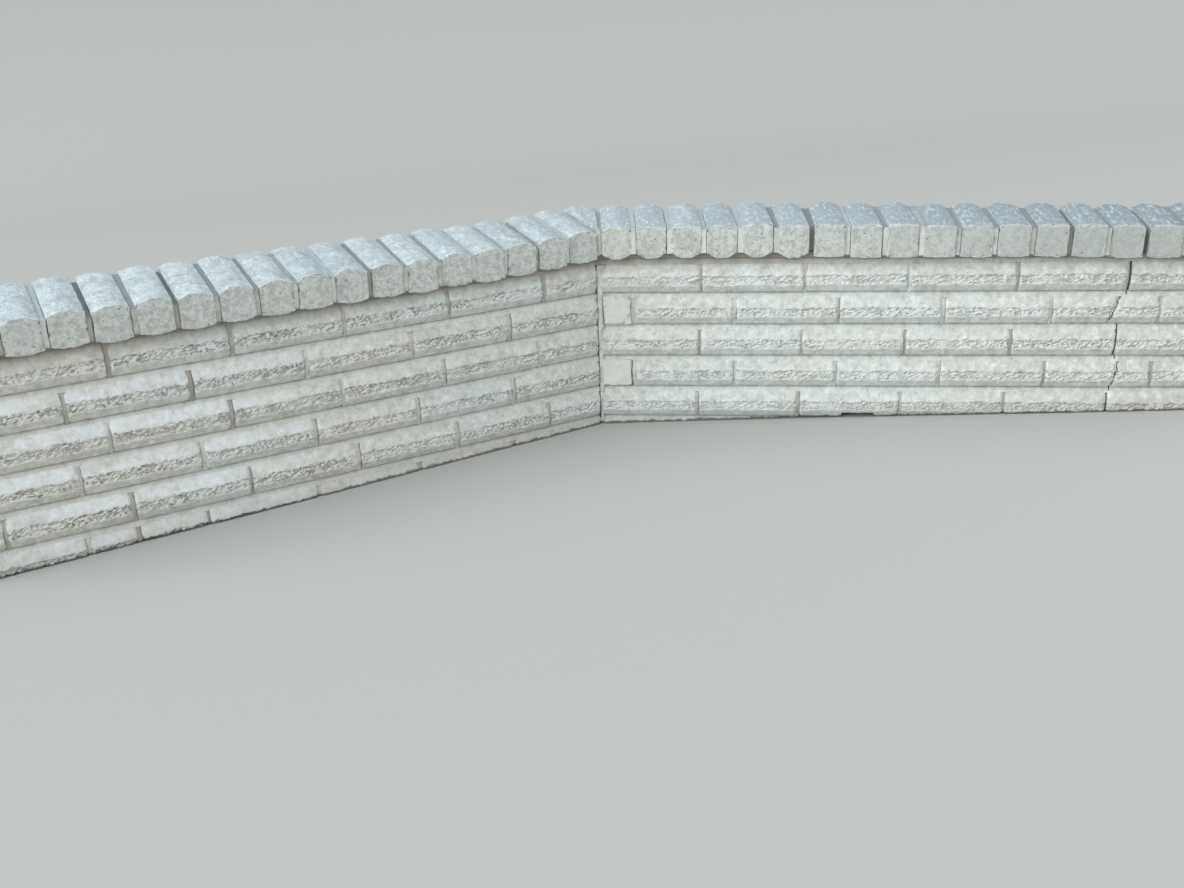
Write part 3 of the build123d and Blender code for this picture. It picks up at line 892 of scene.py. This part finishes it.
BLOCK_SIZES = dict(
    GridX=19, GridY=34, GridZ=15, Bevel=COPING_BEVEL, Crown=COPING_CROWN, Round=COPING_ROUND, Chips=8 * MM,
    Waves=1.6 * MM, Sand=2.4 * MM, Material=coping_material)
ON_BLOCKS = ("tint", "tone", "own", "end", "top", "chip")
laid_coping = {leg: [] for leg in LEGS}
for leg, side in LEGS.items():
    for bay in range(1, BAYS + 1):
        node = f"{leg}_coping_{bay}"
        blocks = [lie_of(solid) for solid in solids_of(node, side)]
        for block in blocks:
            block["foot"] += Vector((0, chance.uniform(-1.0, 2.0), chance.uniform(-3.0, -0.5))) * MM
            block["lean"] += radians(chance.uniform(-0.8, 0.8))
            block["front_half"] += WIDER
            block["back_half"] += WIDER
            if side > 0 and bay in (2, 3):
                block["foot"].z -= DEEPER
                block["height"] += DEEPER
            block.update(
                tint=chance.random(), tone=0, belly=BELLY[leg][bay > 2], brow=BROW[leg], poll=POLL[leg])
        laid_coping[leg] += blocks
        if bay == 1 and side > 0:
            blocks[0]["tone"] = 0.2
        grown(f"{leg}_coping_bricks_{bay}", block_seeds(blocks), block_tree,
              dict(BLOCK_SIZES, Flat=COPING_FLAT, Seed=1.7 * bay + 20.0 * side), leg_frame(side),
              node, keep=ON_BLOCKS)

# The wedge of the coping, cut to fill the fan at the corner
wedge = [v.co.copy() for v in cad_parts["corner_coping_wedge"].data.vertices]
wedge_tip = min(p.y for p in wedge)
wedge_half = max(p.x for p in wedge)
beside = laid_coping["right"][0]
wedge_foot = Vector((0, wedge_tip, min(p.z for p in wedge if p.y < wedge_tip + 1 * MM)))
wedge_block = dict(
    foot=wedge_foot, length=(max(p.y for p in wedge) - wedge_tip) / cos(beside["tilt"]),
    height=beside["height"], front_half=1 * MM, back_half=wedge_half, tilt=beside["tilt"], lean=0,
    tint=chance.random(), tone=0)
grown("corner_wedge_brick", block_seeds([wedge_block]), block_tree,
      dict(BLOCK_SIZES, Flat=wedge_half - COPING_BEVEL, Seed=3.0), IN_PLACE,
      "corner_coping_wedge", keep=ON_BLOCKS)

# The mortar of the coping
# A bed of mortar, thick at the corner and thinner further out, carries the coping bricks. More
# of it fills the joints between them: flush in places, fallen out in others, painted over.
WEB_LAP = 2.2 * MM
WEB_SHIFT = 0.8 * MM
WEB_SHORT = 6 * MM
SIDE_DROP = 9 * MM
BED_FRONT = -0.5 * MM
BED_DEPTH = 156 * MM
BED_LAP = 13 * MM
BED_CREASE = 1.5 * MM
BED_REST = 23 * MM
BARE_BED = {"left": 0.12, "right": 0.40}

# Joints that differ from the rest: how far the filling stands back in front and how low on top,
# in millimetres, and how white it is
ODD_JOINTS = {
    "right": {0: (1, 1, 1), 1: (1, 2, 1), 2: (1.5, 2, 1), 3: (1.5, 2, 1), 5: (20, 4, 0.1), 6: (5, 0.5, 0.9),
              12: (9, 6, 0), 14: (26, 12, 0)},
    "left": {0: (3, 1, 1), 1: (5, 7, 0.4), 2: (2, 2, 0.8), 3: (2.5, 1.5, 0.9), 6: (4, 1.5, 0.1), 7: (1, 1, 1),
             10: (1.5, 2, 0.4), 11: (1.5, 7, 0.2), 12: (1.5, 2, 0.5), 13: (1.5, 7, 0.25), 14: (1, 1.5, 0.9)},
}

for leg, side in LEGS.items():
    webs = []
    laid = laid_coping[leg]
    for i, pair in enumerate(zip(laid, laid[1:])):
        block = pair[0]
        middles, gaps = [], []
        for share in (0.0, 1.0):
            here, there = [b["foot"] + turned_by(b["tilt"], b["lean"]) @ Vector((0, share * b["length"], 0))
                           for b in pair]
            middles.append((here + there) / 2)
            gaps.append((there - here).length - 2 * block["front_half"])
        usual = (chance.uniform(0.5, 3), chance.uniform(-1, 2), chance.uniform(0.3, 0.8))
        inset, drop, tone = ODD_JOINTS[leg].get(i, usual)
        axis = (middles[1] - middles[0]).normalized()
        tilt = asin(axis.z)
        lean = atan2(-axis.x, axis.y)
        foot_drop = (3 + 5 * block["belly"]) * MM
        in_joint = Vector((chance.choice((-1, 1)) * WEB_SHIFT, inset * MM, foot_drop))
        webs.append(dict(
            block, foot=middles[0] + turned_by(tilt, lean) @ in_joint, tilt=tilt, lean=lean,
            length=block["length"] - inset * MM - WEB_SHORT, height=block["height"] - foot_drop - drop * MM,
            front_half=gaps[0] / 2 + WEB_LAP, back_half=gaps[1] / 2 + WEB_LAP, tint=chance.random(),
            tone=tone, belly=0))

    # A thin filling on the corner side of the first brick
    first = laid[0]
    beside = Vector((-side * (first["front_half"] + 3 * MM), 5 * MM, SIDE_DROP))
    webs.append(dict(
        first, foot=first["foot"] + turned_by(first["tilt"], first["lean"]) @ beside, tone=0.8, belly=0,
        length=first["length"] - 2 * WEB_SHORT, height=first["height"] - SIDE_DROP, front_half=5 * MM,
        back_half=5 * MM))
    sizes = dict(
        BLOCK_SIZES, Flat=-1.0, Bevel=1.0, Chips=0.0, Waves=3 * MM, Sand=3 * MM, Round=1.5 * MM,
        Seed=9.0 * side, Material=mortar_material, GridX=5, GridY=30, GridZ=8)
    grown(f"{leg}_coping_joints", block_seeds(webs), block_tree, sizes, leg_frame(side),
          f"{leg}_coping_mortar", keep=("tone", "top"))

    stops = [(abs(b["foot"].x), b) for b in laid]
    stops += [(-BED_DEPTH * tan(HALF_TURN), laid[0]), (LEG_END, laid[-1])]
    seen, buried = [], []
    for place, block in sorted(stops, key=lambda stop: side * stop[0]):
        under = block["foot"].z + sin(block["tilt"]) * BED_REST - WALL_TOP - BED_CREASE
        tone = 0.28 if place < BARE_BED[leg] else 0.5
        seen.append(((side * place, BED_FRONT, WALL_TOP), under, tone))
        point = (side * place, BED_FRONT + BED_CREASE, WALL_TOP + under - JOINT_LAP)
        buried.append((point, BED_LAP, BED_DEPTH * tan(block["tilt"])))
    line, widths, tones = map(list, zip(*seen))
    beds = [(line, dict(width=widths, depth=BED_DEPTH, tone=tones))]
    line, widths, rises = map(list, zip(*buried))
    beds.append((line, dict(width=widths, rise=rises, depth=BED_DEPTH, tone=0.1)))
    grown(f"{leg}_coping_bed", joint_seeds(beds), joint_tree,
          dict(JOINT_SIZES, Grid=5 * MM, Seed=4.0 * side, Foot=0.0, Lumps=3 * MM), leg_frame(side),
          keep=("crease", "tone"))

# The two bats at the corner
# Short cut bricks rubbed over with mortar, so their faces are smooth, cream and bulging, with
# corners worn round.
BAT_PROUD = 8 * MM

# The start, end, foot and head of each bat and the wear of its corners, in millimetres
BATS = {"right_corner_closer_3": (3, 67, 138, 198, 4), "right_corner_closer_5": (6, 71, 264.5, 333, 9)}

# Mortar render, rubbed smooth and painted: cream, matt, with fine pits where sand came away
bat_material, put = new_material("painted_mortar_render")
coords = put("ShaderNodeTexCoord").outputs["Object"]
clouds = put(RANGE, put(NOISE, coords, 1 / (20 * MM), 5, 0.7), 0.35, 0.65)
paint = put(BLEND, clouds, "#DDDED8", "#D1D2CB")
grit = put(NOISE, coords, 1 / (3.2 * MM), 4, 0.7)
paint = put(BLEND, put(RANGE, grit, 0.38, 0.25, 0, 0.5), paint, "#8E897C")
painted_over(put, paint, 0.85, 0.3, grit, 1.2 * MM, 0.7)

for node, (start, end, low, high, worn) in BATS.items():
    half = (end - start) / 2 * MM
    bat = dict(
        foot=Vector((start * MM + half, -BAT_PROUD, low * MM)), length=BRICK_DEPTH + BAT_PROUD,
        height=(high - low) * MM, front_half=half, back_half=half, tilt=0, lean=0,
        tint=chance.random(), tone=0)
    sizes = dict(
        BLOCK_SIZES, Flat=0.0, Bevel=1.0, Crown=0.0, Chips=7 * MM, Waves=4 * MM, Sand=1.5 * MM,
        Round=worn * MM, Seed=low / 10, Material=bat_material, GridX=26, GridY=16, GridZ=24)
    grown(node.replace("closer", "bat"), block_seeds([bat]), block_tree, sizes, leg_frame(1),
          node)

# The back of the wall
# Plain bricks of the same size in stretcher bond, with the same joints, under the same paint.
BACK_DEPTH = 92 * MM
BACK_GRID = 12 * MM
BACK_FIRST = (101 * MM, 199 * MM)
BACK_BRICK = 193.7 * MM
BACK_JUT = 1.5 * MM
SHORTEST = 20 * MM

for leg, side in LEGS.items():
    to_back = leg_frame(side) @ Matrix.Translation((0, WALL_DEPTH, 0)) @ Matrix.Rotation(pi, 4, "Z")
    corner = WALL_DEPTH * tan(HALF_TURN)
    behind = dict(depth=BACK_DEPTH - 2 * MM, tone=0.6)
    laid, joints = [], []
    for course in range(1, COURSES + 1):
        low, high = courses[leg, course]["low"], courses[leg, course]["high"]
        under = courses[leg, course - 1]["high"] if course > 1 else 0
        run = [(x, 0, under) for x in sorted((side * corner, -side * LEG_END))]
        joints.append((run, dict(behind, width=low - under)))
        start = CORNER_GAP / 2 - corner
        end = BACK_FIRST[course % 2] - corner
        while start < LEG_END - SHORTEST:
            end = min(end, LEG_END)
            laid.append(dict(
                near=start, far=end, low=low, tint=chance.random(), mitred=float(start < CORNER_GAP - corner),
                jut=chance.uniform(-1.0, 1.0) * MM + BACK_JUT))
            if end < LEG_END:
                left = min(-side * end, -side * (end + HEAD_JOINT))
                head = [(left, 0, low - JOINT_LAP), (left, 0, high + JOINT_LAP)]
                joints.append((head, dict(behind, upright=1, width=HEAD_JOINT)))
            start = end + HEAD_JOINT
            end = start + BACK_BRICK
    sizes = dict(
        BRICK_SIZES, Side=float(side), Rows=7, Grid=BACK_GRID, Height=high - low, Depth=BACK_DEPTH, Nose=0.0,
        ChipDepth=0.0, Seed=6.0 * side)
    grown(f"{leg}_back_bricks", brick_seeds(-side, laid), brick_tree, sizes, to_back,
          f"{leg}_back_wall", keep=("tint",))
    grown(f"{leg}_back_pointing", joint_seeds(joints), joint_tree,
          dict(JOINT_SIZES, Grid=14 * MM, Rows=3, Foot=2 * MM, Seed=7.0 * side), to_back,
          keep=("crease", "tone"))

# The materials of the solids themselves
# Each solid takes the finish of what was laid over it, found by a word in its name.
FINISHES = {"mortar": mortar_material, "coping": coping_material, "closer": bat_material}
for node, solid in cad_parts.items():
    finish = next((FINISHES[word] for word in FINISHES if word in node), facing_material)
    solid.data.materials.clear()
    solid.data.materials.append(finish)
